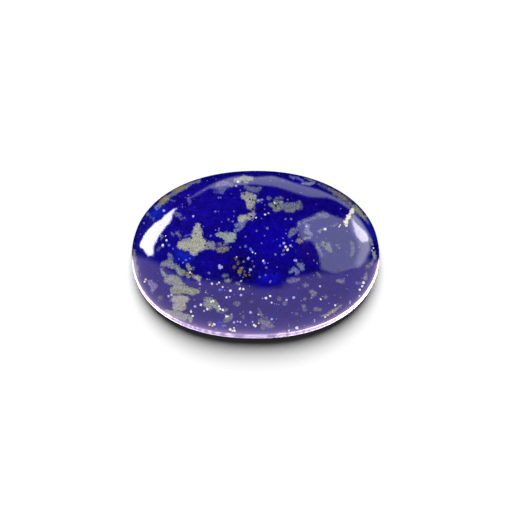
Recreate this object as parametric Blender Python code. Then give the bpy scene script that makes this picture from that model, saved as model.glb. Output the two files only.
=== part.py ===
"""An oval cabochon of polished lapis lazuli, lying on its flat back.

Blender 4.5, metres, +Z up. The origin is at the centre of the flat back, +X runs along the
oval's length and +Y across its width. The stone is one piece. It is turned as a round dome
as wide as the oval, then drawn out to the oval's length, and then given the small
unevenness of a stone that was cut by hand.
"""

from math import atan2, cos, hypot, pi, radians, sin

import bmesh
import bpy
from mathutils import Vector, noise

MM = 0.001

# Driving dimensions of the stone.
LENGTH = 18.0 * MM
WIDTH = 12.2 * MM
HEIGHT = 5.0 * MM
GIRDLE_TOP = 1.15 * MM  # height at which the side wall ends and the dome begins
BACK_ROUNDING = 0.28 * MM  # radius of the rounded edge between the back and the side wall
WALL_LEAN = 0.10 * MM  # how far the side wall leans in on its way up

# The outline is a superellipse, and a plain ellipse has a fullness of 2. It is cut a
# little leaner in the lean direction, which is the quarter towards +X and +Y.
OVAL_FULLNESS = 2.15
FULLNESS_LEAN = 0.06
LEAN_DIRECTION = radians(45)

# The dome's section from the girdle to the crown. Over 2, the crown is flatter than a half
# ellipse's and the shoulders are rounder.
DOME_FULLNESS = 2.25

# Unevenness of the hand-cut dome.
CROWN_SHIFT = Vector((0.25 * MM, 0.12 * MM))  # the crown sits off the oval's centre
WAVE_DEPTH = 0.05 * MM
WAVE_LENGTH = 5.0 * MM
WAVE_START = 0.33  # part of the dome's rise over which the waves grow to their full depth

SEGMENTS = 120
DOME_RINGS = 24
ROUNDING_RINGS = 3
BACK_RINGS = 3
MERGE_DISTANCE = 0.001 * MM
SHARP_ANGLE = radians(30)

BLUE = (0.010, 0.006, 0.36, 1.0)
POLISH_ROUGHNESS = 0.08

ROUND_RADIUS = WIDTH / 2
DOME_RADIUS = ROUND_RADIUS - WALL_LEAN
DOME_RISE = HEIGHT - GIRDLE_TOP
BACK_RADIUS = ROUND_RADIUS - BACK_ROUNDING


def clear_scene():
    for obj in list(bpy.data.objects):
        bpy.data.objects.remove(obj, do_unlink=True)


def outline_radius(angle):
    """Distance from the middle of the plan to the oval's widest outline, at an angle."""
    fullness = OVAL_FULLNESS - FULLNESS_LEAN * cos(angle - LEAN_DIRECTION)
    along = abs(cos(angle)) / (LENGTH / 2)
    across = abs(sin(angle)) / (WIDTH / 2)
    return (along**fullness + across**fullness) ** (-1 / fullness)


def half_section():
    """The round dome's half section: along the flat back, up the side and over the dome."""
    points = [(BACK_RADIUS * ring / BACK_RINGS, 0.0) for ring in range(BACK_RINGS + 1)]
    for ring in range(1, ROUNDING_RINGS + 1):
        turn = pi / 2 * ring / ROUNDING_RINGS
        points.append((BACK_RADIUS + BACK_ROUNDING * sin(turn), BACK_ROUNDING * (1 - cos(turn))))
    for ring in range(DOME_RINGS):
        climb = pi / 2 * ring / DOME_RINGS
        reach = cos(climb) ** (2 / DOME_FULLNESS)
        points.append((DOME_RADIUS * reach, GIRDLE_TOP + DOME_RISE * sin(climb)))
    points.append((0.0, HEIGHT))
    return points


def turned_dome():
    """The half section spun round the upright axis into a closed round dome."""
    mesh = bmesh.new()
    verts = [mesh.verts.new((radius, 0.0, height)) for radius, height in half_section()]
    edges = [mesh.edges.new(pair) for pair in zip(verts, verts[1:])]
    bmesh.ops.spin(
        mesh,
        geom=verts + edges,
        cent=(0, 0, 0),
        axis=(0, 0, 1),
        angle=2 * pi,
        steps=SEGMENTS,
        use_merge=True,
    )
    bmesh.ops.remove_doubles(mesh, verts=mesh.verts, dist=MERGE_DISTANCE)
    bmesh.ops.recalc_face_normals(mesh, faces=mesh.faces)
    return mesh


def drawn_out(point):
    """A point of the round dome moved to its place on the oval stone.

    The rounded edge and the side wall keep their width all round, and what lies inside
    them is stretched to fill the oval.
    """
    radius = hypot(point.x, point.y)
    if radius < MERGE_DISTANCE:
        return point.copy()
    angle = atan2(point.y, point.x)
    edge = BACK_RADIUS if point.z == 0 else DOME_RADIUS
    oval = outline_radius(angle) - (ROUND_RADIUS - edge)
    stretched = oval * radius / edge if radius <= edge else oval + radius - edge
    return Vector((cos(angle) * stretched, sin(angle) * stretched, point.z))


def unevenness(point):
    """How far the hand-cut dome stands off the true one at a point, as an offset."""
    climb = max(0.0, point.z - GIRDLE_TOP) / DOME_RISE
    wave = noise.noise(point / WAVE_LENGTH) * WAVE_DEPTH * min(1.0, climb / WAVE_START)
    return Vector((CROWN_SHIFT.x * climb, CROWN_SHIFT.y * climb, wave))


def polished_blue():
    material = bpy.data.materials.new("polished_lapis")
    material.use_nodes = True
    shader = material.node_tree.nodes["Principled BSDF"]
    shader.inputs["Base Color"].default_value = BLUE
    shader.inputs["Roughness"].default_value = POLISH_ROUGHNESS
    shader.inputs["Metallic"].default_value = 0.0
    return material


def lapis_cabochon(collection):
    shape = turned_dome()
    for vert in shape.verts:
        vert.co = drawn_out(vert.co)
        vert.co += unevenness(vert.co)
    mesh = bpy.data.meshes.new("lapis_cabochon")
    shape.to_mesh(mesh)
    shape.free()
    mesh.shade_smooth()
    mesh.set_sharp_from_angle(angle=SHARP_ANGLE)
    mesh.materials.append(polished_blue())
    stone = bpy.data.objects.new("lapis_cabochon", mesh)
    collection.objects.link(stone)
    return stone


def main():
    clear_scene()
    collection = bpy.data.collections.new("lapis_cabochon")
    bpy.context.scene.collection.children.link(collection)
    lapis_cabochon(collection)


main()
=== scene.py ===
"""Looks of an oval cabochon of polished lapis lazuli, lying on its flat back.

Metres, +Z up, +X along the oval. The marks of the stone are named by where they stand in the
photograph, in pixels of its 512 x 512 frame, and are carried onto the dome by the camera's own
perspective. They are paint in the stone itself, so they stay where they are from every side.
"""

from math import atan2, cos, hypot, pi, radians, sin

import bmesh
import bpy
import numpy as np
from mathutils import Matrix, Vector, noise
from mathutils.bvhtree import BVHTree
from mathutils.interpolate import poly_3d_calc


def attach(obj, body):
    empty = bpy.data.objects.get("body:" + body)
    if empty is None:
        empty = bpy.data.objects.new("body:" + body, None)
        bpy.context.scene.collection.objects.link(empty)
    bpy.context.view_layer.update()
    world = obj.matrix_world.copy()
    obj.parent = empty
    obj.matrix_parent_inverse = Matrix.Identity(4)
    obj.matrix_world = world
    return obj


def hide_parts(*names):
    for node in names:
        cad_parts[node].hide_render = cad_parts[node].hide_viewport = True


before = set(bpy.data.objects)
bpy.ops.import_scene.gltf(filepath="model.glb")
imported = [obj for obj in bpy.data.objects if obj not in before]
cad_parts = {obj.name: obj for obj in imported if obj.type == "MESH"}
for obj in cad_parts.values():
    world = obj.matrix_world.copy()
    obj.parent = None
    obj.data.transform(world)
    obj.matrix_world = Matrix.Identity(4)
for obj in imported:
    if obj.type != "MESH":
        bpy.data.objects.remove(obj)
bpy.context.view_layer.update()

MM = 0.001

# The stone's driving dimensions, as in the CAD model.
LENGTH = 18.0 * MM
WIDTH = 12.2 * MM
HEIGHT = 5.0 * MM
GIRDLE_TOP = 1.15 * MM
BACK_ROUNDING = 0.28 * MM
WALL_LEAN = 0.10 * MM
OVAL_FULLNESS = 2.15
FULLNESS_LEAN = 0.06
LEAN_DIRECTION = radians(45)
DOME_FULLNESS = 2.25
CROWN_SHIFT = Vector((0.25 * MM, 0.12 * MM))
WAVE_DEPTH = 0.05 * MM
WAVE_LENGTH = 5.0 * MM
WAVE_START = 0.33

ROUND_RADIUS = WIDTH / 2
DOME_RADIUS = ROUND_RADIUS - WALL_LEAN
DOME_RISE = HEIGHT - GIRDLE_TOP
BACK_RADIUS = ROUND_RADIUS - BACK_ROUNDING

# How finely the visible stone is divided.
SEGMENTS = 480
DOME_RINGS = 150
WALL_RINGS = 8
ROUNDING_RINGS = 8
BACK_RINGS = 4
MERGE_DISTANCE = 0.0005 * MM

# The camera: how high it looks from, how wide it sees where the stone is, and its aim.
ELEVATION = radians(80)
LENS = 160.0
SENSOR = 36.0
FRAME_WIDTH = 36.97 * MM
LOOK_HEIGHT = 1.5 * MM
AIM_RIGHT = 0.029 * MM
AIM_DOWN = 0.274 * MM
PICTURE = 512
PIXEL = FRAME_WIDTH / PICTURE
MIDDLE = PICTURE / 2

TOWARDS_CAMERA = Vector((0, -cos(ELEVATION), sin(ELEVATION)))
SCREEN_UP = Vector((0, sin(ELEVATION), cos(ELEVATION)))
SCREEN_RIGHT = Vector((1, 0, 0))
CAMERA_DISTANCE = FRAME_WIDTH * LENS / SENSOR
CAMERA_SPOT = (
    Vector((0, 0, LOOK_HEIGHT))
    + SCREEN_RIGHT * AIM_RIGHT
    - SCREEN_UP * AIM_DOWN
    + TOWARDS_CAMERA * CAMERA_DISTANCE
)
STONE_CENTRE = (255.6, 254.0)


def paint(red, green, blue):
    """A colour given as it looks, 0 to 255, turned into the shader's linear numbers."""
    shares = [part / 255 for part in (red, green, blue)]
    return tuple(s / 12.92 if s <= 0.04045 else ((s + 0.055) / 1.055) ** 2.4 for s in shares)


# Colours of the rock, and of painted shade and glints on it.
BLUE = paint(23, 8, 150)
# Painted shade: the dark of a thin line painted along the top right rim.
PAINTED_RIM_SHADE = paint(12, 2, 92)
INK = paint(6, 4, 30)
ROYAL = paint(22, 4, 182)
AZURE = paint(24, 50, 205)
BRIGHT = paint(26, 22, 215)
VIOLET = paint(42, 20, 140)
DUSK = paint(20, 12, 105)
SKY = paint(70, 95, 225)
PALE_BLUE = paint(125, 145, 205)
LILAC = paint(132, 114, 205)
MIST = paint(96, 104, 158)
CREAM = paint(186, 184, 164)
BONE = paint(172, 172, 158)
GREY = paint(140, 146, 146)
SLATE = paint(104, 112, 132)
SAGE = paint(134, 150, 130)
CELADON = paint(166, 182, 172)
OLIVE = paint(128, 120, 68)
MOSS = paint(140, 148, 108)
GOLDEN = paint(146, 136, 60)
GREEN = paint(86, 108, 42)
BROWN = paint(112, 84, 56)
TAUPE = paint(120, 108, 112)
WHITE = paint(236, 236, 234)
IVORY = paint(226, 224, 198)
PYRITE = paint(214, 190, 130)
FROST = paint(168, 172, 232)

# Broad shades of the blue: a colour, how far it shows, and the run of its middle as x, y and
# reach in pixels.
SHADES = (
    (paint(38, 20, 170), 0.6, (190, 204, 26), (182, 226, 20)),
    (paint(44, 40, 168), 0.6, (150, 226, 14), (146, 246, 14)),
    (AZURE, 0.85, (154, 214, 7), (160, 210, 6)),
    (AZURE, 0.7, (180, 256, 8), (188, 256, 7)),
    (paint(30, 14, 178), 0.6, (222, 212, 22)),
    (ROYAL, 0.8, (262, 236, 20), (276, 240, 16)),
    (BRIGHT, 0.9, (262, 279, 7), (272, 279, 7)),
    (VIOLET, 0.8, (306, 246, 9), (313, 257, 8)),
    (DUSK, 0.85, (240, 262, 12), (247, 273, 10)),
    (DUSK, 0.6, (222, 274, 10), (232, 276, 8)),
    (paint(26, 6, 136), 0.7, (292, 200, 10), (322, 206, 14), (338, 210, 8)),
    (paint(16, 8, 122), 0.8, (160, 300, 20), (216, 306, 26), (280, 310, 30), (340, 290, 24)),
    (paint(14, 8, 132), 0.6, (336, 240, 26), (360, 250, 14)),
    (paint(18, 34, 175), 0.6, (368, 226, 5), (372, 236, 5)),
    (BRIGHT, 0.5, (219, 325, 5)),
)

# Patches of calcite and of stained rock: a colour, how thickly it covers the blue, and the run
# of its middle as x, y and half width in pixels.
PATCHES = (
    # The large star on the left and its broken right arm.
    (CREAM, 0.96, (197.5, 226, 3.5), (197.5, 233, 5.3), (197, 240, 7)),
    (CREAM, 0.96, (181, 245.5, 3.8), (188, 245.5, 5.6), (196, 246, 7), (203, 244, 6)),
    (CREAM, 0.9, (193, 252, 4), (195, 246, 6)),
    (BONE, 0.8, (183, 241, 2.2), (190, 240.5, 3)),
    (GREY, 0.75, (206, 244.5, 4.8), (211.5, 245, 4.2)),
    # The pale green patch, its wisps, and the stained spot under it.
    (CELADON, 0.85, (217.5, 235, 1.6), (223, 235, 3), (228, 236.5, 5), (233, 236, 3.8)),
    (CELADON, 0.8, (227, 241, 3), (231.5, 240, 3)),
    (PALE_BLUE, 0.6, (235, 231, 1.6), (240, 228, 2.4), (244, 226, 1.6)),
    (SLATE, 0.5, (219, 244, 2), (225, 244.5, 2)),
    (OLIVE, 0.75, (219, 250, 2.6), (223, 250, 3.6), (227, 248.5, 2.4)),
    (MOSS, 0.6, (223, 252.5, 1.6)),
    # The patch beside the middle and its trail.
    (CREAM, 0.88, (242, 219, 4.3), (247, 218, 3.4)),
    (BONE, 0.85, (247, 218, 3), (251, 216.5, 3.6), (254.5, 213.5, 2)),
    (PALE_BLUE, 0.6, (236, 225.5, 2.2), (241, 224, 2.8), (245, 222, 2)),
    # The upright patch above it.
    (BONE, 0.85, (243, 196.5, 3.4), (248, 196.5, 4.8), (253.5, 197, 4)),
    (CREAM, 0.85, (250, 200, 5.4), (250.5, 206, 3.8)),
    (TAUPE, 0.6, (252.5, 207, 2.5), (253, 212, 1.8)),
    (PALE_BLUE, 0.75, (257.5, 200.6, 1.2), (262.5, 200, 1)),
    (MIST, 0.6, (246, 187, 1.8), (252, 189.5, 2.8), (257, 190.5, 2.8), (260, 188, 1.5)),
    # The whitish patch at the top and the lilac one beside it.
    (BONE, 0.8, (235, 180.5, 2), (243, 178, 2.6), (251, 179, 2.4)),
    (WHITE, 0.85, (237, 182, 1.3), (240, 182, 1)),
    (IVORY, 0.6, (244, 182.6, 0.9), (248, 182.4, 0.8)),
    (INK, 0.75, (237, 184.6, 0.6), (243, 184.2, 0.8), (248, 184.6, 0.6)),
    (GREY, 0.6, (237, 186.2, 1)),
    (LILAC, 0.55, (218, 185.5, 2.6), (225, 183, 3), (231, 184.5, 2)),
    (MIST, 0.5, (216, 192, 1.6), (222, 191.5, 2)),
    # The speckled patch at the upper right and the grey one that runs on from it.
    (SAGE, 0.72, (271, 204, 2), (276, 205, 5.4), (281, 203.5, 3.4)),
    (MOSS, 0.6, (274, 209.5, 2), (279, 209, 2)),
    (SLATE, 0.7, (283, 206, 3.4), (290, 207.5, 4.6), (297, 206, 4)),
    (SAGE, 0.65, (286, 210, 2), (294, 210, 2.2)),
    (SLATE, 0.55, (276, 198.5, 1.4), (282, 198, 1.6)),
    (SLATE, 0.55, (268, 197.5, 1.2), (271, 198.5, 1.2)),
    (SLATE, 0.5, (299, 203, 3), (301, 208, 1.6)),
    # The upper left rim.
    (GREY, 0.8, (156.3, 208, 1.8), (159.5, 204.6, 2.3)),
    (GOLDEN, 0.95, (161.5, 202.6, 2.3), (165, 199.6, 2.8), (168, 196.8, 2.3)),
    (SLATE, 0.8, (169, 196.5, 1.8), (173.5, 193.2, 2.2)),
    (OLIVE, 0.95, (174, 191.6, 2.6), (179, 189.2, 2.8), (184, 186.6, 2.2)),
    (GREY, 0.75, (186, 187, 1.8), (192, 183.4, 1.3), (199.5, 180.4, 1.1)),
    (SLATE, 0.5, (172, 200.6, 1.2), (175, 200.8, 1.2)),
    (SLATE, 0.6, (148, 214.5, 1.8)),
    (MIST, 0.5, (153.5, 219, 1.8)),
    (MIST, 0.45, (188.8, 199, 1.6), (189.5, 202, 1.4)),
    (SLATE, 0.6, (176.5, 213.5, 2), (179.5, 215, 2.2)),
    (MIST, 0.5, (180, 218.6, 1), (184, 218.2, 1.2)),
    # The top right rim: sky blue and cream, then a long stained band with a painted shade line
    # along it.
    (SKY, 0.75, (290, 176.6, 0.9), (297, 178, 1.3), (303, 180.6, 1.5)),
    (PALE_BLUE, 0.75, (303.5, 183.2, 1.8), (309, 183.6, 1.9), (314.5, 182.2, 1.3)),
    (MOSS, 0.7, (305, 178.6, 0.9), (311.5, 180.4, 0.9)),
    (SLATE, 0.5, (319, 184, 1), (326, 187, 1.1)),
    (OLIVE, 0.75, (329, 188.6, 1.4), (336, 192.6, 2), (343, 197, 2.3), (350, 202.4, 2.2)),
    (MOSS, 0.85, (353, 205.4, 2), (358.5, 211, 2.5), (364, 217.2, 2)),
    (BROWN, 0.8, (344, 197.4, 1), (347, 199, 1)),
    (SLATE, 0.6, (365.6, 219.6, 1.2), (369.6, 226, 0.9)),
    # Painted shade: a thin dark line along the top right rim, not a stain.
    (PAINTED_RIM_SHADE, 0.85, (333, 194.6, 1), (340, 198.6, 1.4), (346, 203, 1.4), (350, 206.6, 1)),
    # Marks under the right highlight.
    (PALE_BLUE, 0.6, (308, 225.5, 2), (307.5, 231, 2.6), (311, 234.5, 2.6)),
    (CELADON, 0.6, (307.5, 228, 1.8)),
    (MOSS, 0.85, (299.4, 223.4, 1.9)),
    (MIST, 0.6, (303, 221.5, 1.6), (310, 219.6, 2), (318, 216.6, 2.4)),
    (MIST, 0.5, (318, 216, 3), (326, 216, 3)),
    (CELADON, 0.45, (318, 231.6, 1.4), (324, 229, 1.2), (331, 226, 1.2), (337, 224.4, 1)),
    (OLIVE, 0.85, (297.6, 240.6, 2.4), (301.2, 241.4, 2.2)),
    (BONE, 0.65, (305, 238.6, 1.6), (310.4, 237.4, 1.7)),
    (SAGE, 0.6, (323, 242.6, 2.6), (327.4, 246, 3.4), (330.4, 250.4, 2.6)),
    (MOSS, 0.55, (316, 243, 1.2), (318.6, 249.6, 1.4)),
    (MIST, 0.5, (320, 251, 1.8), (322, 255, 1.6)),
    (SLATE, 0.45, (352, 243, 1.6), (353, 250, 2.2), (351, 256, 1.8)),
    (GREY, 0.45, (337.4, 245, 1.8)),
    # The right rim.
    (MOSS, 0.85, (370, 238.6, 1.4), (372, 244.4, 1.8)),
    (CELADON, 0.7, (374, 252, 1.5), (374.6, 258, 1.6)),
    (SAGE, 0.65, (372.6, 260, 1.6), (371, 264, 1.4)),
    (GREEN, 0.7, (367.4, 266.4, 1.7)),
    (MOSS, 0.75, (366.4, 274, 1.8), (365.4, 278, 2.2)),
    (GREY, 0.6, (357, 283, 1.4), (361, 282.6, 1.6)),
    # Crackled pale spots right of the middle.
    (SLATE, 0.6, (290.4, 235, 2.4), (294, 231, 3.6), (297, 229, 2)),
    (PALE_BLUE, 0.6, (290.6, 271.6, 1.6), (295, 269.4, 2.8), (297, 272.4, 2.6)),
    (PALE_BLUE, 0.6, (297, 263.6, 1.4), (301, 266, 2.6), (303, 269.6, 1.8)),
    (OLIVE, 0.7, (300.6, 264.6, 1.5)),
    (MIST, 0.55, (287, 281.4, 1.4), (294, 280, 2.2), (299, 279, 1.8)),
    (SLATE, 0.6, (317.6, 273, 1.6), (319, 276, 2.2)),
    (GREY, 0.6, (337.6, 280.8, 1.8), (342.4, 281.4, 1.8)),
    # The large mass on the lower left, from its top to the rim.
    (MIST, 0.7, (169.6, 254.4, 1.8), (169.6, 259, 3)),
    (GREY, 0.75, (162.6, 264.4, 2.8), (168.6, 262.6, 4.6), (174, 266, 3.6)),
    (GREY, 0.8, (162, 270, 2.4), (163.6, 275, 2.4)),
    (SAGE, 0.8, (177, 268, 2.8), (180.6, 273, 3.8)),
    (MOSS, 0.8, (187.6, 265.4, 2.2), (190, 268.6, 2.8)),
    (MOSS, 0.75, (184.6, 272, 2), (189, 275.4, 2.4)),
    (BONE, 0.85, (195, 276.6, 2.6), (199, 278.4, 2.3), (199, 281.6, 1.6)),
    (GREY, 0.88, (167.6, 279.6, 4.2), (175.6, 280.6, 6), (180, 285, 4.4)),
    (MOSS, 0.88, (173, 290, 3.8), (181, 289.4, 4.8), (190, 291, 3.8), (197.4, 291, 2.1)),
    (BONE, 0.9, (174.6, 300, 3.8), (181, 300, 5.6), (185.8, 299, 3.4)),
    (BONE, 0.88, (176.6, 307, 4.6), (182.6, 306, 4.2)),
    (OLIVE, 0.7, (184.6, 307.4, 2.2)),
    (GREY, 0.85, (162.6, 312, 1.9), (169.6, 313, 3.4), (178, 315, 4.4), (184, 317, 3.8)),
    (MOSS, 0.8, (187, 316, 2.6), (190.6, 320, 2.6)),
    (LILAC, 0.7, (150, 282.6, 2.8), (154, 287, 3.6), (152.4, 290, 2)),
    (TAUPE, 0.4, (160, 298.6, 2.6)),
    (
        MOSS, 0.8,
        (133.6, 250, 1.2), (134.6, 256, 2.1), (135.2, 262, 2.1), (136, 269, 1.9), (137.6, 276, 1.4),
    ),
    # Stains and veils of the left side.
    (SLATE, 0.65, (161.6, 236, 2.2)),
    (SLATE, 0.55, (177, 232.6, 2.2), (179.6, 235.4, 2.2)),
    (MIST, 0.5, (171, 232, 0.9), (173.4, 235.6, 0.9)),
    (MIST, 0.5, (185, 236, 1), (189, 235.2, 1)),
    (MIST, 0.5, (158, 250, 1), (161, 246.6, 1)),
    # Patches of the lower middle.
    (SAGE, 0.8, (205.6, 299.6, 2.4), (210.6, 301.4, 3.8), (215, 305, 3.6), (218.4, 309.4, 2.4)),
    (GREY, 0.75, (205, 304, 2.2), (209.6, 307.6, 2.8)),
    (SLATE, 0.65, (222, 313, 1.6), (226.8, 309.4, 2)),
    (SLATE, 0.7, (224.6, 320.6, 2), (229.6, 318, 3.4)),
    (GREEN, 0.85, (226.6, 319.4, 2), (228.8, 318.8, 2)),
    (SLATE, 0.6, (224, 325.4, 2.2)),
    (TAUPE, 0.6, (210.4, 323.4, 2.4)),
    (SLATE, 0.7, (261, 321.4, 2.4), (267, 324, 4.2), (271.6, 326.4, 2.2)),
    (SAGE, 0.6, (262.6, 328, 1.8), (268.4, 327.6, 1.4)),
    (SLATE, 0.5, (235.6, 302.6, 2.4), (238.6, 303.4, 2)),
    (MIST, 0.4, (251.6, 301.4, 1.8)),
    (SLATE, 0.55, (260, 313.2, 1.8), (262.4, 315.4, 1.5)),
    (SLATE, 0.55, (265.8, 318, 1.8)),
    (SLATE, 0.5, (243.6, 317, 1.8)),
    (SLATE, 0.5, (279.4, 298.8, 2.6)),
    (TAUPE, 0.5, (284.8, 303.6, 2.2)),
    (GREY, 0.6, (279.6, 333.4, 1.1), (284.6, 332.6, 1.3)),
    (GREY, 0.6, (289.4, 330.4, 0.8), (293.4, 329, 0.8)),
    (MOSS, 0.7, (225, 280.6, 2), (229, 281, 2)),
    (MOSS, 0.65, (236.6, 283.2, 1.5), (239, 283.4, 1.3)),
    (SLATE, 0.5, (224, 276, 2), (227.6, 275, 1.6)),
    # Patches of the lower right.
    (GREY, 0.6, (312, 291.4, 1.8), (315.6, 293, 2.2), (313, 295.4, 1.6)),
    (MIST, 0.6, (304.6, 286, 2), (307.4, 285.2, 1.8)),
    (OLIVE, 0.6, (326, 296.6, 2)),
    (MIST, 0.55, (304.6, 299, 2.2)),
    (MIST, 0.6, (303.4, 306, 1.6), (304.6, 310, 1.8)),
    (TAUPE, 0.55, (316, 309.4, 1.8), (320, 309.6, 1.4)),
    (MOSS, 0.85, (322.6, 316, 1.3), (328, 314.4, 1.4), (333, 311.6, 1.5), (336, 309, 1.4)),
    (MOSS, 0.7, (336, 309, 1.3), (340.4, 306.2, 1.6)),
    (SLATE, 0.55, (307, 327.4, 1.8), (311.6, 327, 1.8)),
    (MIST, 0.5, (296.6, 313.8, 2)),
)
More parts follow.
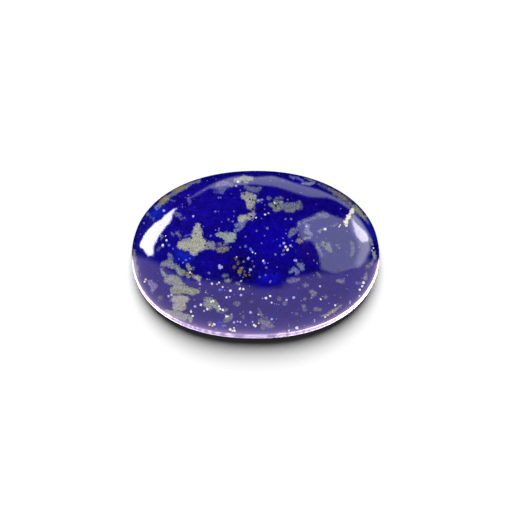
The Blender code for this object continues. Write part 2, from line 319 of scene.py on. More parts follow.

# Small grains that stand one by one, by kind, some of them painted glints and some pits with
# painted shade. Each is x, y and radius in pixels. The fourth number of a kind is how metallic it
# is.
GRAIN_KINDS = {
    # Painted highlight: a pyrite veinlet as bright cream non-metal beads, its glint painted in.
    "veinlet_glint": (*paint(232, 230, 202), 0.0),
    # Partly real white flecks, partly painted glints.
    "white": (*WHITE, 0.0),
    "pyrite": (*PYRITE, 0.9),
    "brown": (*paint(150, 110, 62), 0.5),
    "olive": (*paint(138, 126, 48), 0.2),
    # Pale lilac flecks, a few of them painted glints.
    "frost": (*FROST, 0.0),
    "haze": (*paint(104, 104, 170), 0.0),
    "sky": (*paint(80, 110, 240), 0.0),
    # Dark specks, partly painted shade in pits.
    "dark": (*INK, 0.0),
    "blue": (*paint(18, 4, 150), 0.0),
}
GRAINS = {
    # Painted highlight: the glinting beads of a pyrite veinlet, painted bright cream.
    "veinlet_glint": (
        (352.6, 209.4, 1.7), (351.8, 211.6, 2.4), (349.8, 214.2, 1.6), (348.3, 216.8, 2.5),
        (346.9, 219.4, 1.6), (346, 222, 2.4), (346.4, 225.2, 1.5),
    ),
    # Partly real white flecks, partly painted glints where pyrite grains and a scratch catch the
    # light.
    "white": (
        (230.2, 329.4, 1.4), (234.5, 330.5, 1.4), (232.4, 330.8, 1), (234, 328, 0.9),
        (255.6, 326, 1.2), (254, 325, 1.4), (222.8, 310, 1.3), (220.2, 308.8, 1), (219, 306.4, 1.1),
        (213.2, 301, 1.3), (211.2, 301.8, 1), (207.4, 309.2, 1.2), (201, 304.8, 1.2),
        (226.2, 316.4, 1.2), (227.8, 316.2, 0.9), (214.1, 324.2, 1.3), (240, 288.7, 1.2),
        (243.2, 289.2, 1.2), (230.4, 290.6, 1.2), (222.7, 287, 1), (226.5, 297.4, 1),
        (266, 298.1, 1.3), (270, 296.1, 1.2), (271.6, 302.6, 0.8), (287.4, 249.6, 1.5),
        (285.6, 246.8, 1.2), (325.2, 229, 1.4), (340.2, 225, 0.8), (339.3, 226.6, 0.8),
        (363.6, 282.6, 1.5), (362.3, 286.3, 1.2), (359.8, 289.6, 1.2), (359.5, 295.9, 0.8),
        (335.3, 305.3, 1.1), (325.2, 317, 1.1), (320.7, 299.4, 0.9), (296.9, 327.9, 1.5),
        (191, 311.7, 1.2), (192.7, 316, 1.2), (166.4, 240.3, 1.1), (162.8, 245.2, 1.3),
        (144.6, 281.6, 1), (238, 181.8, 1.2), (212, 283.7, 1.1), (219, 282.6, 1),
        (274.6, 203, 0.9), (373.4, 248, 0.9), (372, 250.4, 0.7), (288.8, 330.6, 0.9),
        (263.3, 260.8, 1), (236.4, 257.2, 0.9), (252.6, 252.3, 0.9), (255.3, 253.4, 0.7),
        (265.2, 214.5, 1), (256, 217.6, 0.8), (189.8, 272.4, 1),
    ),
    "pyrite": (
        (191.6, 273.8, 1.2), (188, 272.6, 1.1), (193.4, 275, 0.9), (237.9, 261.6, 1.1),
        (209.6, 324.8, 1.2), (212.4, 325.6, 1), (348.4, 200.6, 1), (286.6, 248.4, 1.2),
        (244.6, 274.6, 1), (249.6, 275, 1), (217, 284, 1), (145.8, 279.4, 1.2),
        (328, 315, 0.8), (332.6, 312, 0.8), (299, 264, 0.8), (258.6, 323.4, 0.9),
    ),
    "brown": (
        (236, 258.6, 1.5), (234.3, 267, 1.9), (186, 273, 1.2), (238, 263.6, 1.4), (246, 275.6, 1.2),
    ),
    "olive": ((239.4, 271.6, 2.2), (241.4, 269.2, 1.5), (284, 250, 1), (163, 247, 0.8)),
    # Pale lilac flecks; those at 163.9, 210.5 and 268.5, 213.3 are painted glints.
    "frost": (
        (220.3, 267.2, 2.2), (219.4, 265.6, 1.3), (250.4, 269.8, 1.5), (248.2, 258.4, 1.4),
        (283.9, 243.2, 1.3), (290.4, 245.7, 1.2), (296, 260.6, 1.3), (294.4, 260.4, 1),
        (163.9, 210.5, 1.3), (268.5, 213.3, 0.9), (168.6, 296, 1.2), (171.6, 295, 1.2),
        (193.3, 216.3, 1.2), (234, 322.4, 1.2), (237.5, 321.6, 0.9), (240.5, 321.9, 1),
        (245.5, 324.9, 1), (252.6, 321.9, 0.9), (240.9, 295, 1.3), (229.6, 296.9, 0.8),
        (199.9, 284, 1.2), (320, 286.2, 1.2), (293.7, 297.7, 1.4), (286.6, 299.9, 1.2),
        (314.5, 320, 0.8), (314.6, 321.8, 0.7), (350, 303, 0.8), (350.2, 301.4, 0.7),
        (144.5, 292.8, 1), (241, 281, 1.1), (236, 185.8, 1.1), (306.4, 226.4, 1.2),
        (262.6, 298.4, 0.7), (231.5, 314.4, 0.8), (204.2, 310.9, 1), (195, 306.5, 1.3),
        (250.4, 312.5, 1.4), (271.8, 319, 1.2), (366.6, 216, 0.8), (258.2, 200.4, 0.9),
    ),
    "haze": (
        (245.5, 246.3, 1.4), (245.7, 236.7, 1.1), (256.7, 231, 1), (267.4, 228.2, 1.5),
        (253.8, 266.6, 1.1), (243.5, 261.7, 1.1), (282.2, 254.5, 1.2), (284.2, 254, 1),
        (275.6, 254.5, 1.4), (266.3, 267.7, 1.3), (210.8, 236, 1.2), (215.3, 211.6, 1.1),
        (228.5, 219.3, 1.2), (232.8, 221.5, 1.2), (291, 219, 1.2), (285.5, 219, 1.1),
        (287.7, 199.5, 0.9), (209, 273, 1.3), (218.6, 197.6, 0.9), (220.6, 197.5, 0.9),
        (274.2, 303.8, 0.7), (276.4, 304.2, 0.7), (278.6, 304.6, 0.7), (143.9, 223, 1.1),
        (242, 268, 1.4), (259.6, 277, 1), (265.6, 275, 1), (270, 282, 1.2),
    ),
    "sky": (
        (169, 245.2, 1.4), (157.2, 239.8, 1), (156.8, 241.6, 0.8), (280, 245.7, 1.1),
        (250.4, 248.8, 1.3), (251.6, 250.6, 1), (157, 209, 1.2), (186, 260, 1.2), (183, 262.5, 1),
        (179, 259, 0.9), (190, 258.4, 0.9), (264.4, 262.8, 1.4), (219.8, 290, 1.2),
    ),
    # Dark mineral specks, partly small pits and a scratch side painted dark as painted shade.
    "dark": (
        (251.2, 216.6, 1.2), (244.4, 194, 1), (249.8, 199.2, 1), (252.7, 200, 0.9),
        (252.8, 209.2, 1.2), (273.2, 203.8, 1), (275.8, 206, 1.3), (278.5, 204, 1.1),
        (272.3, 200.8, 0.9), (276.8, 201.6, 0.8), (191.4, 238.2, 0.9), (207, 241, 1.1),
        (205, 245.4, 0.9), (208.6, 246.8, 0.8), (222.4, 243.7, 1.1), (167.5, 237.9, 1),
        (154.3, 260.6, 1.2), (186.6, 310.6, 1.6), (189.2, 312.6, 1.6), (191.8, 313.8, 1.3),
        (236.2, 329.6, 1.2), (232, 328.2, 0.9), (229, 328, 0.9), (257.6, 324.8, 1.1),
        (258.6, 326.8, 0.9), (268, 296.8, 1), (241.6, 289.4, 0.8), (325.3, 244.6, 1.1),
        (322, 246.6, 0.8), (340.6, 228.6, 0.9), (339.6, 230.4, 0.8), (338, 270.4, 1.1),
        (340.2, 268.8, 1.1), (339.6, 272, 0.9), (374.8, 246.6, 0.8), (373.2, 250.6, 0.8),
        (371.4, 252.4, 0.8), (370.6, 249, 0.8), (364.8, 284.4, 0.9), (361.4, 288.2, 0.9),
        (361.2, 291.4, 0.8), (145.8, 281.8, 0.9), (228.6, 313, 1.2), (230.6, 322, 1.1),
        (214.6, 322.6, 0.9), (215.4, 327, 0.9), (191.6, 271.4, 0.8), (190, 274.8, 0.9),
        (248, 277, 2), (244, 279, 1.5), (242, 259, 1.4), (231.6, 266, 1.3), (239.6, 257.6, 1.2),
        (241.6, 265, 1.3), (246.6, 265.6, 1.3), (236.4, 271.6, 1.3), (286.2, 251.6, 0.9),
        (274.5, 273.2, 1.2), (176.6, 220.4, 1.3), (179, 222, 1.2), (226.4, 180, 0.9),
        (261, 209.4, 1.3), (259, 211.4, 1.1), (326, 318.6, 0.8), (334, 306.6, 0.8),
        (196.6, 258.4, 1), (194.6, 260.4, 0.8), (199, 283, 0.9), (319.4, 272.6, 0.9),
    ),
    "blue": (
        (169.6, 271.6, 1.7), (168.4, 274.4, 1.2), (166.5, 267.2, 1.1), (325.6, 251.2, 1.1),
        (323.8, 251.8, 0.9), (327.4, 250.6, 0.8), (186, 281.6, 1.8), (189.4, 280.4, 2),
        (192.4, 281.4, 1.7), (194, 283.6, 1.4), (244, 202.6, 1.2), (243.4, 206, 1.3),
    ),
}

# Where the stone is more and less peppered with fine grit: how much, and the run of its
# middle as x, y and reach in pixels.
GRIT = (
    (0.9, (190, 276, 12), (216, 296, 14), (226, 318, 14)),
    (0.8, (236, 264, 12), (248, 276, 10)),
    (0.6, (240, 322, 12), (290, 318, 16), (330, 300, 14)),
    (0.5, (170, 232, 14), (160, 262, 12)),
    (0.5, (282, 206, 10), (292, 232, 8), (298, 266, 8)),
    (0.6, (362, 262, 8), (362, 284, 8)),
)

FIELD_BLEND = 1.4  # how sharply one patch's colour gives way to the next, per pixel
FACING_FULL = 0.22  # the marks are as named where the surface faces the camera this much
FACING_NONE = 0.05
OUTSIDE = -40.0  # depth given to points far outside every patch, in pixels
REACH_SPREAD = 1.6  # a shade or a share of grit ends this many reaches from its run
GRIT_EVERYWHERE = 0.25


def outline_radius(angle):
    """Distance from the middle of the plan to the oval's widest outline, at an angle."""
    fullness = OVAL_FULLNESS - FULLNESS_LEAN * cos(angle - LEAN_DIRECTION)
    along = abs(cos(angle)) / (LENGTH / 2)
    across = abs(sin(angle)) / (WIDTH / 2)
    return (along**fullness + across**fullness) ** (-1 / fullness)


def half_section():
    """The round dome's half section: along the back, up the side and over the dome."""
    points = [(BACK_RADIUS * ring / BACK_RINGS, 0.0) for ring in range(BACK_RINGS + 1)]
    for ring in range(1, ROUNDING_RINGS + 1):
        turn = pi / 2 * ring / ROUNDING_RINGS
        points.append((BACK_RADIUS + BACK_ROUNDING * sin(turn), BACK_ROUNDING * (1 - cos(turn))))
    for ring in range(1, WALL_RINGS):
        share = ring / WALL_RINGS
        height = BACK_ROUNDING + (GIRDLE_TOP - BACK_ROUNDING) * share
        points.append((ROUND_RADIUS - WALL_LEAN * share, height))
    for ring in range(DOME_RINGS):
        climb = pi / 2 * ring / DOME_RINGS
        reach = cos(climb) ** (2 / DOME_FULLNESS)
        points.append((DOME_RADIUS * reach, GIRDLE_TOP + DOME_RISE * sin(climb)))
    points.append((0.0, HEIGHT))
    return points


def drawn_out(point):
    """A point of the round dome moved to its place on the oval stone."""
    radius = hypot(point.x, point.y)
    if radius < MERGE_DISTANCE:
        return point.copy()
    angle = atan2(point.y, point.x)
    edge = BACK_RADIUS if point.z == 0 else DOME_RADIUS
    oval = outline_radius(angle) - (ROUND_RADIUS - edge)
    stretched = oval * radius / edge if radius <= edge else oval + radius - edge
    return Vector((cos(angle) * stretched, sin(angle) * stretched, point.z))


def unevenness(point):
    """How far the hand-cut dome stands off the true one at a point, as an offset."""
    climb = max(0.0, point.z - GIRDLE_TOP) / DOME_RISE
    wave = noise.noise(point / WAVE_LENGTH) * WAVE_DEPTH * min(1.0, climb / WAVE_START)
    return Vector((CROWN_SHIFT.x * climb, CROWN_SHIFT.y * climb, wave))


def oval_dome():
    """The half section spun into a round dome and drawn out to the oval, as a bmesh."""
    shape = bmesh.new()
    verts = [shape.verts.new((radius, 0.0, height)) for radius, height in half_section()]
    edges = [shape.edges.new(pair) for pair in zip(verts, verts[1:])]
    bmesh.ops.spin(
        shape,
        geom=verts + edges,
        cent=(0, 0, 0),
        axis=(0, 0, 1),
        angle=2 * pi,
        steps=SEGMENTS,
        use_merge=True,
    )
    bmesh.ops.remove_doubles(shape, verts=shape.verts, dist=MERGE_DISTANCE)
    bmesh.ops.recalc_face_normals(shape, faces=shape.faces)
    for vert in shape.verts:
        vert.co = drawn_out(vert.co)
        vert.co += unevenness(vert.co)
    return shape


def pixels_of(points):
    """Where points, as rows of x, y and z, stand in the photograph's frame, in pixels."""
    offset = points - np.array(CAMERA_SPOT)
    depth = -offset @ np.array(TOWARDS_CAMERA)
    scale = PICTURE * LENS / SENSOR / depth
    across = MIDDLE + offset @ np.array(SCREEN_RIGHT) * scale
    down = MIDDLE - offset @ np.array(SCREEN_UP) * scale
    return np.stack((across, down), axis=1)


def depth_in(pixels, run):
    """How deep each pixel position lies inside a run of x, y and half width, in pixels."""
    deepest = np.full(len(pixels), OUTSIDE)
    for start, end in zip(run, run[1:] or run):
        along = np.subtract(end[:2], start[:2])
        length_squared = max(along @ along, 1e-9)
        share = np.clip((pixels - start[:2]) @ along / length_squared, 0, 1)
        middle = np.array(start[:2]) + share[:, None] * along
        half_width = start[2] + share * (end[2] - start[2])
        deepest = np.maximum(deepest, half_width - np.linalg.norm(pixels - middle, axis=1))
    return deepest


def patch_fields(pixels):
    """How deep each point lies in the patches, in metres, with their colour and cover there."""
    depth = np.full(len(pixels), OUTSIDE)
    colour = np.zeros((len(pixels), 3))
    cover = np.zeros(len(pixels))
    total = np.zeros(len(pixels))
    for tint, thickness, *run in PATCHES:
        inside = depth_in(pixels, run)
        weight = np.exp(np.clip(inside, -10, 10) * FIELD_BLEND)
        depth = np.maximum(depth, inside)
        colour += weight[:, None] * np.array(tint)
        cover += weight * thickness
        total += weight
    return depth * PIXEL, colour / total[:, None], cover / total


def closeness(pixels, run):
    """How near each point is to a run of x, y and reach: 1 on it, and 0 where it ends."""
    reach = max(dab[2] for dab in run)
    middle = [(x, y, 0) for x, y, _ in run]
    return np.clip(1 + depth_in(pixels, middle) / (REACH_SPREAD * reach), 0, 1)


def shade_field(pixels):
    """The blue of the ground at each point."""
    colour = np.tile(np.array(BLUE), (len(pixels), 1))
    for tint, strength, *run in SHADES:
        rise = closeness(pixels, run)
        share = strength * rise * rise * (3 - 2 * rise)
        colour += share[:, None] * (np.array(tint) - colour)
    return colour


def grit_field(pixels):
    """How thickly fine grit is strewn at each point."""
    amount = np.full(len(pixels), GRIT_EVERYWHERE)
    for strength, *run in GRIT:
        amount = np.maximum(amount, strength * closeness(pixels, run))
    return amount


def grain_fields(face_pixels):
    """The nearest grain of each face: its x, y and radius in pixels, and its kind's colour."""
    grains = [(grain, kind) for kind, group in GRAINS.items() for grain in group]
    places = np.array([grain for grain, kind in grains])
    colours = np.array([GRAIN_KINDS[kind] for grain, kind in grains])
    nearest = np.zeros(len(face_pixels), int)
    closest = np.full(len(face_pixels), np.inf)
    for index, (x, y, radius) in enumerate(places):
        apart = np.hypot(face_pixels[:, 0] - x, face_pixels[:, 1] - y) / radius
        nearest[apart < closest] = index
        closest = np.minimum(closest, apart)
    return places[nearest], colours[nearest]


def store(mesh, name, kind, domain, values):
    """Keeps values on the mesh as a named attribute."""
    attribute = mesh.attributes.new(name, kind, domain)
    field = {"FLOAT": "value", "FLOAT_VECTOR": "vector", "FLOAT_COLOR": "color"}[kind]
    attribute.data.foreach_set(field, np.ascontiguousarray(values, np.float32).ravel())


def with_one(colours):
    return np.column_stack((colours, np.ones(len(colours))))


def mark_stone(mesh):
    """Carries the named marks onto the mesh as attributes for its material to read."""
    count = len(mesh.vertices)
    points = np.zeros(count * 3)
    mesh.vertices.foreach_get("co", points)
    points = points.reshape(-1, 3)
    normals = np.zeros(count * 3)
    mesh.vertices.foreach_get("normal", normals)
    pixels = pixels_of(points)
    depth, colour, cover = patch_fields(pixels)
    facing = normals.reshape(-1, 3) @ np.array(TOWARDS_CAMERA)
    shown = np.clip((facing - FACING_NONE) / (FACING_FULL - FACING_NONE), 0, 1)
    store(mesh, "patch_depth", "FLOAT", "POINT", depth / MM)
    store(mesh, "patch_colour", "FLOAT_COLOR", "POINT", with_one(colour))
    store(mesh, "patch_cover", "FLOAT", "POINT", cover)
    store(mesh, "ground", "FLOAT_COLOR", "POINT", with_one(shade_field(pixels)))
    store(mesh, "grit", "FLOAT", "POINT", grit_field(pixels))
    store(mesh, "shown", "FLOAT", "POINT", shown)
    corners = np.zeros(len(mesh.loops), int)
    mesh.loops.foreach_get("vertex_index", corners)
    sides = np.zeros(len(mesh.polygons), int)
    mesh.polygons.foreach_get("loop_total", sides)
    faces = np.repeat(np.arange(len(sides)), sides)
    sums = np.zeros((len(sides), 2))
    np.add.at(sums, faces, pixels[corners])
    places, colours = grain_fields(sums / sides[:, None])
    offset = (pixels[corners] - places[faces, :2]) / places[faces, 2:3]
    flat_offset = np.column_stack((offset, np.zeros(len(faces))))
    store(mesh, "grain_offset", "FLOAT_VECTOR", "CORNER", flat_offset)
    store(mesh, "grain_colour", "FLOAT_COLOR", "CORNER", colours[faces])


class Wire:
    """A socket that takes part in sums. Each operator adds the Math node that works it out."""

    def __init__(self, finish, socket):
        self.finish = finish
        self.socket = socket

    def __add__(self, other):
        return self.finish.math("ADD", self, other)

    def __sub__(self, other):
        return self.finish.math("SUBTRACT", self, other)

    def __mul__(self, other):
        return self.finish.math("MULTIPLY", self, other)

    def __radd__(self, other):
        return self.finish.math("ADD", other, self)

    def __rsub__(self, other):
        return self.finish.math("SUBTRACT", other, self)

    def __rmul__(self, other):
        return self.finish.math("MULTIPLY", other, self)


class Finish:
    """A material and the nodes that make it."""

    def __init__(self, name):
        self.material = bpy.data.materials.new(name)
        self.material.use_nodes = True
        self.tree = self.material.node_tree
        self.tree.nodes.clear()

    def node(self, kind, settings=None, sockets=None, output=0):
        """Adds a node: its settings first, then the values or links of its sockets."""
        made = self.tree.nodes.new(kind)
        for name, value in (settings or {}).items():
            setattr(made, name, value)
        for name, value in (sockets or {}).items():
            if isinstance(value, Wire):
                self.tree.links.new(value.socket, made.inputs[name])
            else:
                made.inputs[name].default_value = value
        return Wire(self, made.outputs[output] if made.outputs else None)

    def math(self, operation, first, second=0.0):
        return self.node("ShaderNodeMath", {"operation": operation}, {0: first, 1: second})

    def vector_math(self, operation, *values, output=0):
        settings = {"operation": operation}
        return self.node("ShaderNodeVectorMath", settings, dict(enumerate(values)), output)

    def step(self, value, low, high):
        """Rises smoothly from 0 at low to 1 at high."""
        return self.node(
            "ShaderNodeMapRange",
            {"interpolation_type": "SMOOTHSTEP"},
            {"Value": value, "From Min": low, "From Max": high},
        )

    def mix(self, share, first, second, blend="MIX"):
        """Mixes two colours."""
        settings = {"data_type": "RGBA", "blend_type": blend}
        return self.node("ShaderNodeMix", settings, {0: share, 6: first, 7: second}, 2)

    def attribute(self, name, output):
        return self.node("ShaderNodeAttribute", {"attribute_name": name}, output=output)

    def noise(self, place, scale, detail=4.0, roughness=0.55, output=0):
        sockets = {"Vector": place, "Scale": scale, "Detail": detail, "Roughness": roughness}
        return self.node("ShaderNodeTexNoise", {}, sockets, output)

    def cells(self, place, scale, output=0):
        return self.node("ShaderNodeTexVoronoi", {}, {"Vector": place, "Scale": scale}, output)

    def surface(self, wire):
        self.node("ShaderNodeOutputMaterial", {}, {"Surface": wire})
        return self.material


def opaque(colour):
    return (*colour, 1.0)


def polished_lapis():
    """Blue lazurite with calcite, stained rock, pyrite and fine grit, cut smooth and polished."""
    finish = Finish("polished_lapis")
    place = finish.vector_math(
        "MULTIPLY", finish.node("ShaderNodeTexCoord", output=3), (1 / MM, 1 / MM, 1 / MM)
    )
    shown = finish.attribute("shown", 2)
    grit = finish.attribute("grit", 2)

    # The blue ground, mottled at three sizes.
    broad = finish.noise(place, 0.55, 3.0)
    mottle = finish.noise(place, 2.4, 5.0, 0.6)
    fine = finish.noise(place, 9.0, 4.0, 0.65)
    ground = finish.mix(shown, opaque(BLUE), finish.attribute("ground", 0))
    bright = finish.mix(1.0, ground, opaque(paint(232, 232, 255)), "MULTIPLY")
    dark = finish.mix(1.0, ground, opaque(paint(150, 130, 178)), "MULTIPLY")
    tone = finish.step(mottle * 0.6 + fine * 0.5 + broad * 0.25, 0.48, 0.86)
    ground = finish.mix(tone, dark, bright)
    veil = finish.step(finish.noise(place, 3.6, 5.0, 0.7), 0.58, 0.78) * 0.28
    ground = finish.mix(veil, ground, opaque(paint(84, 86, 190)))

    # Patches: as named on the side shown, and scattered by noise on the rest of the stone.
    wander = finish.noise(place, 1.9, 6.0, 0.62)
    ragged = finish.noise(place, 7.5, 5.0, 0.7)
    named = finish.attribute("patch_depth", 2)
    scattered = finish.noise(place, 0.42, 4.0, 0.55) * 4.2 - 2.55
    named = named * shown + scattered * (1 - shown)
    edge = named + (wander - 0.5) * 0.5 + (ragged - 0.5) * 0.42
    cover = finish.step(edge, -0.05, 0.1)
    thickness = finish.attribute("patch_cover", 2) * shown + 0.8 * (1 - shown)
    holes = finish.step(finish.noise(place, 6.2, 4.0, 0.7), 0.56, 0.74)
    cover = cover * thickness * (1 - 0.55 * holes)
    unseen = finish.mix(finish.step(broad, 0.4, 0.6), opaque(BONE), opaque(SAGE))
    tint = finish.mix(shown, unseen, finish.attribute("patch_colour", 0))
    shaded = finish.mix(1.0, tint, opaque(paint(190, 190, 186)), "MULTIPLY")
    lifted = finish.mix(0.3, tint, opaque(WHITE))
    tint = finish.mix(finish.step(finish.noise(place, 11.0, 3.0, 0.7), 0.36, 0.66), shaded, lifted)
    colour = finish.mix(cover, ground, tint)

    # Fine grit: pale flecks and dark pinpricks in small cells.
    fleck_cell = finish.cells(place, 4.6, 1)
    fleck = finish.step(finish.cells(place, 4.6), 0.30, 0.16)
    chance = finish.node("ShaderNodeSeparateColor", {}, {"Color": fleck_cell})
    flecked = fleck * finish.step(chance + grit * 0.2, 0.93, 0.98)
    colour = finish.mix(flecked * 0.6, colour, opaque(paint(150, 150, 214)))
    prick_cell = finish.cells(place, 3.7, 1)
    prick = finish.step(finish.cells(place, 3.7), 0.34, 0.2)
    chance = finish.node("ShaderNodeSeparateColor", {}, {"Color": prick_cell}, 1)
    pricked = prick * finish.step(chance + grit * 0.25, 0.98, 1.02)
    colour = finish.mix(pricked * 0.7, colour, opaque(INK))

    # Pyrite scattered where the grit is, and the grains that stand one by one, among them painted
    # glints and pits with painted shade.
    gold_cell = finish.cells(place, 2.9, 1)
    gold = finish.step(finish.cells(place, 2.9), 0.24, 0.16)
    chance = finish.node("ShaderNodeSeparateColor", {}, {"Color": gold_cell}, 2)
    golden = gold * finish.step(chance + grit * 0.12, 1.0, 1.03)
    colour = finish.mix(golden, colour, opaque(PYRITE))
    jitter = finish.noise(place, 8.0, 2.0, 0.6, 1)
    jitter = finish.vector_math("MULTIPLY_ADD", jitter, (1.5, 1.5, 0.0), (-0.75, -0.75, 0.0))
    offset = finish.vector_math("ADD", finish.attribute("grain_offset", 1), jitter)
    apart = finish.vector_math("LENGTH", offset, output=1)
    grain = finish.step(apart, 1.15, 0.7) * shown
    grain_colour = finish.attribute("grain_colour", 0)
    metal = finish.attribute("grain_colour", 3)
    rim = finish.step(apart, 2.0, 1.1) * shown * finish.step(metal, 0.4, 0.6)
    colour = finish.mix(rim * 0.5, colour, opaque(INK))
    colour = finish.mix(grain, colour, grain_colour)

    metallic = grain * metal + golden * (1 - grain) * 0.9
    roughness = 0.05 + cover * 0.08 + metallic * 0.2
    ripple = finish.noise(place, 1.3, 3.0) * 0.006 + finish.noise(place, 14.0, 3.0, 0.7) * 0.0006
    relief = ripple - cover * 0.0012 + grain * 0.001
    normal = finish.node("ShaderNodeBump", {}, {"Height": relief, "Distance": MM, "Strength": 1.0})
    shader = finish.node(
        "ShaderNodeBsdfPrincipled",
        {},
        {
            "Base Color": colour,
            "Roughness": roughness,
            "Metallic": metallic,
            "Normal": normal,
            "IOR": 1.5,
        },
    )
    return finish.surface(shader)


def polished_stone():
    """The visible stone: the CAD model's own form, finely divided and marked."""
    shape = oval_dome()
    unwrap = shape.loops.layers.uv.new("OFBake")
    for face in shape.faces:
        on_back = face.normal.z < -0.7 and face.calc_center_median().z < BACK_ROUNDING
        for loop in face.loops:
            loop[unwrap].uv = back_uv(loop.vert.co) if on_back else dome_uv(loop.vert.co)
    mesh = bpy.data.meshes.new("polished_stone")
    shape.to_mesh(mesh)
    shape.free()
    mesh.shade_smooth()
    mark_stone(mesh)
    mesh.materials.append(polished_lapis())
    stone = bpy.data.objects.new("polished_stone", mesh)
    bpy.context.scene.collection.objects.link(stone)
    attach(stone, "root")
    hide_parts("lapis_cabochon")
    return stone


# The flat layout of the surface: the dome and side fill the lower two thirds of the square,
# and the back is a smaller oval above them.
DOME_UV_CENTRE = (0.5, 0.335)
DOME_UV_HALF = (0.485, 0.325)
BACK_UV_CENTRE = (0.24, 0.835)
BACK_UV_HALF = (0.22, 0.15)
SIDE_SHARE = 0.14  # part of the dome's layout that the side below the girdle takes


def dome_uv(point):
    """The dome seen from above, with the side folded outwards round it."""
    angle = atan2(point.y, point.x)
    across = hypot(point.x, point.y)
    share = min(1.0, across / outline_radius(angle))
    if point.z < GIRDLE_TOP:
        fallen = 1 - point.z / GIRDLE_TOP
        share = 1 - SIDE_SHARE + SIDE_SHARE * fallen
    else:
        share = (1 - SIDE_SHARE) * share
    u = DOME_UV_CENTRE[0] + DOME_UV_HALF[0] * share * cos(angle)
    v = DOME_UV_CENTRE[1] + DOME_UV_HALF[1] * share * sin(angle)
    return (u, v)


def back_uv(point):
    """The flat back, as an oval of its own."""
    u = BACK_UV_CENTRE[0] + BACK_UV_HALF[0] * point.x / (LENGTH / 2)
    v = BACK_UV_CENTRE[1] + BACK_UV_HALF[1] * point.y / (WIDTH / 2)
    return (u, v)


# Reflections in the polish. Each is the outline that it has in the photograph, how soft its
# edge is, how bright its card is, and the card's colour.
CARD_DISTANCE = 300 * MM
CARD_MARGIN = 4.0  # pixels that a card's grid reaches past the outline
PULL_TRIES = 400
PULL_STEP = 0.0025  # part of the way to the stone's centre that one try pulls a pixel in
REFLECTIONS = {
    "left_window": {
        "outline": (
            (176.9, 207.9), (172.9, 209.3), (169.3, 212.4), (164.4, 215.5), (161.3, 219.6),
            (155, 223.1), (147.9, 230.3), (142.9, 237.9), (140, 245), (140.3, 247), (143.4, 248.6),
            (145.2, 252.1), (147.9, 255.3), (152.3, 255.5), (153.7, 253), (153.2, 247.7),
            (156.3, 239.6), (160.4, 233.8), (165.3, 227.1), (168.8, 223.6), (171.5, 219.6),
            (172, 214.6), (174.6, 209.7),
        ),
        "soft": 1.2,
        "bright": 22.0,
        "colour": (1.0, 0.98, 1.0),
        "step": 0.7,
    },
    "right_window": {
        "outline": (
            (351.8, 219), (357.5, 224.8), (361.7, 228.6), (366.3, 233.6), (368.6, 239.3),
            (367.1, 241.6), (361.7, 242), (357.1, 237), (355.6, 233.6), (354, 227),
        ),
        "soft": 2.0,
        "bright": 11.0,
        "colour": (1.0, 0.98, 1.0),
        "step": 0.7,
    },
    "right_trail": {
        "outline": (
            (354, 212), (358, 219), (364, 228), (369.5, 236), (369.5, 250), (366, 260), (358, 267),
            (356, 262), (360, 250), (357, 240), (352, 230), (350, 218),
        ),
        "soft": 6.0,
        "bright": 2.6,
        "colour": (1.0, 0.96, 1.0),
        "step": 1.2,
    },
    "top_strip": {
        "outline": (
            (190, 198.5), (196, 194), (203, 189.5), (212, 184.5), (221, 180.5), (230, 178),
            (240, 176.3), (256, 177.5), (266, 176.5), (272, 176.2), (283, 179), (294, 183),
            (307, 186.7), (318.5, 190), (330, 195), (335.5, 197.6), (344, 202.4), (350, 207.5),
            (353.5, 211.5), (350, 209.5), (343, 204.6), (335, 200), (327, 197.5), (318.5, 197.3),
            (307, 196.3), (296, 193), (289, 190.5), (283, 188.5), (272, 186), (256, 184.3),
            (240, 184), (230, 187), (223, 190), (216, 189), (209, 188), (203, 191.2), (197, 195.2),
        ),
        "soft": 2.4,
        "bright": 2.2,
        "colour": (1.0, 0.98, 1.0),
        "step": 1.0,
    },
    "right_panel": {
        "outline": (
            (298, 223.5), (310, 218), (323, 211), (333, 216), (343, 219), (353, 214), (361, 221),
            (368, 233), (370, 249), (365, 259), (361, 266), (351, 269), (335, 273), (321, 269),
            (320, 259), (316, 246), (311, 241), (300, 239),
        ),
        "soft": 2.5,
        "bright": 2.6,
        "colour": (1.0, 1.0, 1.0),
        "step": 1.2,
    },
    "front_panel": {
        "outline": (
            (128, 259), (137, 257.5), (148, 259), (165, 268), (185, 279), (208, 281), (235, 283),
            (262, 289), (280, 288), (295, 278), (320, 273), (335, 273), (351, 269), (365, 259),
            (372, 262), (384, 262), (384, 345), (128, 345),
        ),
        "soft": 8.0,
        "bright": 1.35,
        "colour": (1.0, 0.78, 1.1),
        "step": 1.5,
    },
}


def sight_line(pixel):
    """The direction in which the camera looks through a pixel."""
    across = (pixel[0] - MIDDLE) / PICTURE * SENSOR / LENS
    up = (MIDDLE - pixel[1]) / PICTURE * SENSOR / LENS
    return (SCREEN_RIGHT * across + SCREEN_UP * up - TOWARDS_CAMERA).normalized()


def glanced(pixel, stone, tree):
    """Where the line of sight through a pixel ends after it glances off the stone.

    A pixel beside the stone is first pulled in to the stone's edge.
    """
    for pull in range(PULL_TRIES):
        share = 1 - pull * PULL_STEP
        near = [c + (p - c) * share for p, c in zip(pixel, STONE_CENTRE)]
        sight = sight_line(near)
        hit, _, face, _ = tree.ray_cast(CAMERA_SPOT, sight)
        if hit is not None:
            break
    corners = [stone.data.vertices[index] for index in stone.data.polygons[face].vertices]
    weights = poly_3d_calc([corner.co for corner in corners], hit)
    normal = Vector()
    for corner, weight in zip(corners, weights):
        normal += corner.normal * weight
    return hit + sight.reflect(normal.normalized()) * CARD_DISTANCE


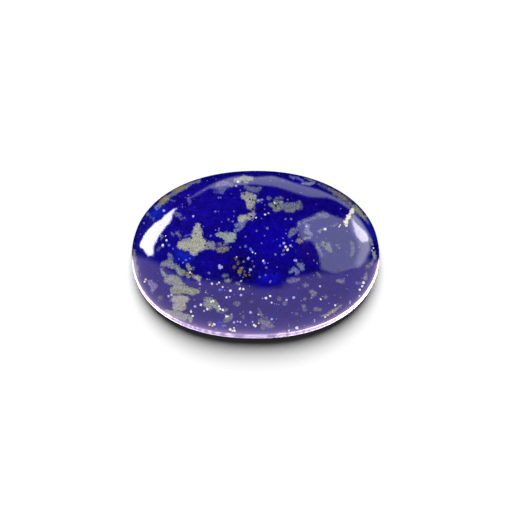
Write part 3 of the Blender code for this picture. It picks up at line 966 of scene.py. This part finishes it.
def inside_depth(points, outline):
    """How far points lie inside a closed outline, negative outside, in pixels."""
    nearest = np.full(len(points), np.inf)
    inside = np.zeros(len(points), bool)
    for start, end in zip(outline, outline[1:] + outline[:1]):
        along = np.subtract(end, start)
        share = np.clip((points - start) @ along / (along @ along), 0, 1)
        middle = np.array(start) + share[:, None] * along
        nearest = np.minimum(nearest, np.linalg.norm(points - middle, axis=1))
        crosses = (points[:, 1] < start[1]) != (points[:, 1] < end[1])
        if start[1] != end[1]:
            meets = start[0] + (points[:, 1] - start[1]) * along[0] / along[1]
            inside ^= crosses & (points[:, 0] < meets)
    return np.where(inside, nearest, -nearest)


def card_light(bright, colour):
    """Light from a card, as strong as its glow attribute says, and clear where it is none."""
    finish = Finish("card_light")
    strength = finish.attribute("glow", 2) * bright
    light = finish.node("ShaderNodeEmission", {}, {"Color": opaque(colour), "Strength": strength})
    clear = finish.node("ShaderNodeBsdfTransparent")
    both = finish.node("ShaderNodeAddShader", {}, {0: light, 1: clear})
    material = finish.surface(both)
    material.cycles.emission_sampling = "NONE"
    return material


def light_card(name, outline, soft, bright, colour, step, stone, tree):
    """A lit card that the polish shows where the photograph has a reflection."""
    corners = np.array(outline)
    low = corners.min(axis=0) - CARD_MARGIN
    high = corners.max(axis=0) + CARD_MARGIN
    columns, rows = (int((high - low)[axis] / step) for axis in (0, 1))
    shape = bmesh.new()
    bmesh.ops.create_grid(shape, x_segments=columns, y_segments=rows, size=0.5)
    pixels = np.array([vert.co.xy for vert in shape.verts])
    pixels = (low + high) / 2 + pixels * (high - low)
    rise = np.clip(inside_depth(pixels, outline) / soft + 0.5, 0, 1)
    for vert, pixel in zip(shape.verts, pixels):
        vert.co = glanced(pixel, stone, tree)
    mesh = bpy.data.meshes.new(name)
    shape.to_mesh(mesh)
    shape.free()
    store(mesh, "glow", "FLOAT", "POINT", rise * rise * (3 - 2 * rise))
    mesh.materials.append(card_light(bright, colour))
    card = bpy.data.objects.new(name, mesh)
    bpy.context.scene.collection.objects.link(card)
    card.visible_camera = False
    card.visible_diffuse = False
    card.visible_shadow = False
    card.visible_transmission = False
    return card


FLOOR_DROP = 0.01 * MM
FLOOR_SIZE = 600 * MM
FLOOR_SHADE = 0.03  # the floor takes most of its white from its own lamp, so a shadow is deep
LAMP_ELEVATION = radians(58)
LAMP_SOFTNESS = radians(34)
FLOOR_WHITE = 1.02  # how bright the lit floor is, where 1 is the picture's white


def pale_floor():
    """A plain floor that the lamp makes white. The polish doesn't mirror it."""
    shape = bmesh.new()
    bmesh.ops.create_grid(shape, x_segments=1, y_segments=1, size=FLOOR_SIZE)
    bmesh.ops.translate(shape, verts=shape.verts, vec=(0, 0, -FLOOR_DROP))
    mesh = bpy.data.meshes.new("floor")
    shape.to_mesh(mesh)
    shape.free()
    finish = Finish("pale_floor")
    white = finish.node(
        "ShaderNodeBsdfDiffuse", {}, {"Color": (FLOOR_SHADE, FLOOR_SHADE, FLOOR_SHADE, 1)}
    )
    mesh.materials.append(finish.surface(white))
    floor = bpy.data.objects.new("floor", mesh)
    bpy.context.scene.collection.objects.link(floor)
    floor.visible_glossy = False
    return floor


def floor_lamp(floor):
    """A soft lamp behind the stone that lights the floor alone, for the shadow in front."""
    data = bpy.data.lights.new("floor_lamp", "SUN")
    data.angle = LAMP_SOFTNESS
    data.energy = (FLOOR_WHITE / FLOOR_SHADE - 1) * pi / sin(LAMP_ELEVATION)
    lamp = bpy.data.objects.new("floor_lamp", data)
    bpy.context.scene.collection.objects.link(lamp)
    from_lamp = Vector((0, -cos(LAMP_ELEVATION), -sin(LAMP_ELEVATION)))
    lamp.rotation_euler = from_lamp.to_track_quat("-Z", "Y").to_euler()
    lit = bpy.data.collections.new("lit_by_floor_lamp")
    lit.objects.link(floor)
    lamp.light_linking.receiver_collection = lit


def soft_room():
    """Even white light from all round. The polish doesn't mirror it, only the cards."""
    world = bpy.data.worlds.new("soft_room")
    world.use_nodes = True
    background = world.node_tree.nodes["Background"]
    background.inputs["Color"].default_value = (1, 1, 1, 1)
    background.inputs["Strength"].default_value = 1.0
    bpy.context.scene.world = world
    world.cycles_visibility.glossy = False


def camera():
    data = bpy.data.cameras.new("camera")
    data.lens = LENS
    data.sensor_width = SENSOR
    data.clip_start = 1 * MM
    data.clip_end = 10.0
    made = bpy.data.objects.new("camera", data)
    made.matrix_world = Matrix.Translation(CAMERA_SPOT) @ Matrix(
        (SCREEN_RIGHT, SCREEN_UP, TOWARDS_CAMERA)
    ).transposed().to_4x4()
    bpy.context.scene.collection.objects.link(made)
    bpy.context.scene.camera = made


def main():
    bpy.context.scene.view_settings.view_transform = "Standard"
    camera()
    soft_room()
    stone = polished_stone()
    floor = pale_floor()
    floor_lamp(floor)
    bpy.context.view_layer.update()
    tree = BVHTree.FromObject(stone, bpy.context.evaluated_depsgraph_get())
    for name, card in REFLECTIONS.items():
        light_card(name, stone=stone, tree=tree, **card)


main()
